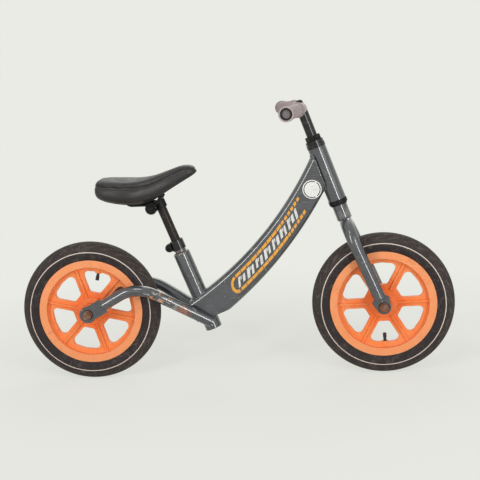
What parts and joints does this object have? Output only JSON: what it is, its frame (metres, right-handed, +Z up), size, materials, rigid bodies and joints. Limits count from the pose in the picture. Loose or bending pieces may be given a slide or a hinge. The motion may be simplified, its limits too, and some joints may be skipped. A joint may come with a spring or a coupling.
{
  "type": "balance bike",
  "caption": "Child's balance bike with no pedals: curved main tube, bent rear stays, threaded headset and spoked moulded wheels.",
  "frame": {"origin": "on the ground, midway between the two axles, in the middle plane", "axes": "+X forward, +Y to the rider's left, +Z up"},
  "size_m": [0.876, 0.3915, 0.5519],
  "materials": {
    "frame_paint": "gloss anthracite paint, scuffed",
    "black_metal": "gloss black",
    "steel": "zinc plated, a little rust",
    "bearing_steel": "polished",
    "bar_paint": "satin pale grey paint",
    "grip_rubber": "matt pale grey rubber",
    "plug_plastic": "matt",
    "saddle_cover": "satin imitation leather",
    "saddle_pan": "matt",
    "wheel_plastic": "satin moulded",
    "tyre_rubber": "matt",
    "tube_rubber": "matt"
  },
  "bodies": {
    "frame": {"main_tube": "frame_paint", "head_tube": "frame_paint", "seat_tube": "frame_paint", "left_stay": "frame_paint", "right_stay": "frame_paint", "rear_dropouts": "frame_paint", "upper_cup": "black_metal", "lower_cup": "black_metal", "seat_collar": "black_metal", "collar_bolt": "black_metal", "collar_nut": "black_metal", "rear_axle": "steel", "rear_cones": "steel", "rear_washers": "black_metal", "rear_nuts": "steel"},
    "fork": {"steerer": "steel", "crown_sleeve": "frame_paint", "left_leg": "frame_paint", "right_leg": "frame_paint", "fork_dropouts": "frame_paint", "crown_race": "black_metal", "lower_balls": "bearing_steel", "upper_balls": "bearing_steel", "upper_cone": "black_metal", "lock_washer": "steel", "locknut": "black_metal", "front_axle": "steel", "front_cones": "steel", "front_washers": "black_metal", "front_nuts": "steel"},
    "handlebar_set": {"stem": "black_metal", "expander_wedge": "steel", "expander_bolt": "steel", "stem_cap": "black_metal", "handlebar": "bar_paint", "left_grip": "grip_rubber", "right_grip": "grip_rubber", "bar_plugs": "plug_plastic"},
    "seat_post_set": {"seat_post": "black_metal", "post_brace": "black_metal", "clamp_band": "black_metal", "clamp_bolt": "steel", "clamp_nuts": "steel"},
    "saddle": {"clamp_discs": "black_metal", "saddle_rails": "steel", "saddle_pan": "saddle_pan", "saddle_cover": "saddle_cover"},
    "front_wheel": {"front_rim": "wheel_plastic", "front_tyre": "tyre_rubber", "front_inner_tube": "tube_rubber", "front_valve": "tyre_rubber", "front_bearings": "bearing_steel", "front_spacer": "steel"},
    "rear_wheel": {"rear_rim": "wheel_plastic", "rear_tyre": "tyre_rubber", "rear_inner_tube": "tube_rubber", "rear_valve": "tyre_rubber", "rear_bearings": "bearing_steel", "rear_spacer": "steel"}
  },
  "joints": [
    {"name": "steering", "type": "hinge", "parent": "frame", "child": "fork", "pos_m": [0.2135, 0, 0.3456], "axis": [-0.3338, 0, 0.9426], "continuous": true},
    {"name": "handlebar_height", "type": "slide", "parent": "fork", "child": "handlebar_set", "axis": [-0.3338, 0, 0.9426], "range_m": [-0.035, 0.02]},
    {"name": "front_wheel_spin", "type": "hinge", "parent": "fork", "child": "front_wheel", "pos_m": [0.296, 0, 0.142], "axis": [0, 1, 0], "continuous": true},
    {"name": "rear_wheel_spin", "type": "hinge", "parent": "frame", "child": "rear_wheel", "pos_m": [-0.296, 0, 0.142], "axis": [0, 1, 0], "continuous": true},
    {"name": "seat_height", "type": "slide", "parent": "frame", "child": "seat_post_set", "axis": [-0.3518, 0, 0.9361], "range_m": [-0.05, 0.04]},
    {"name": "saddle_tilt", "type": "hinge", "parent": "seat_post_set", "child": "saddle", "pos_m": [-0.15829, 0, 0.34989], "axis": [0, 1, 0], "range_deg": [-10, 0]}
  ]
}
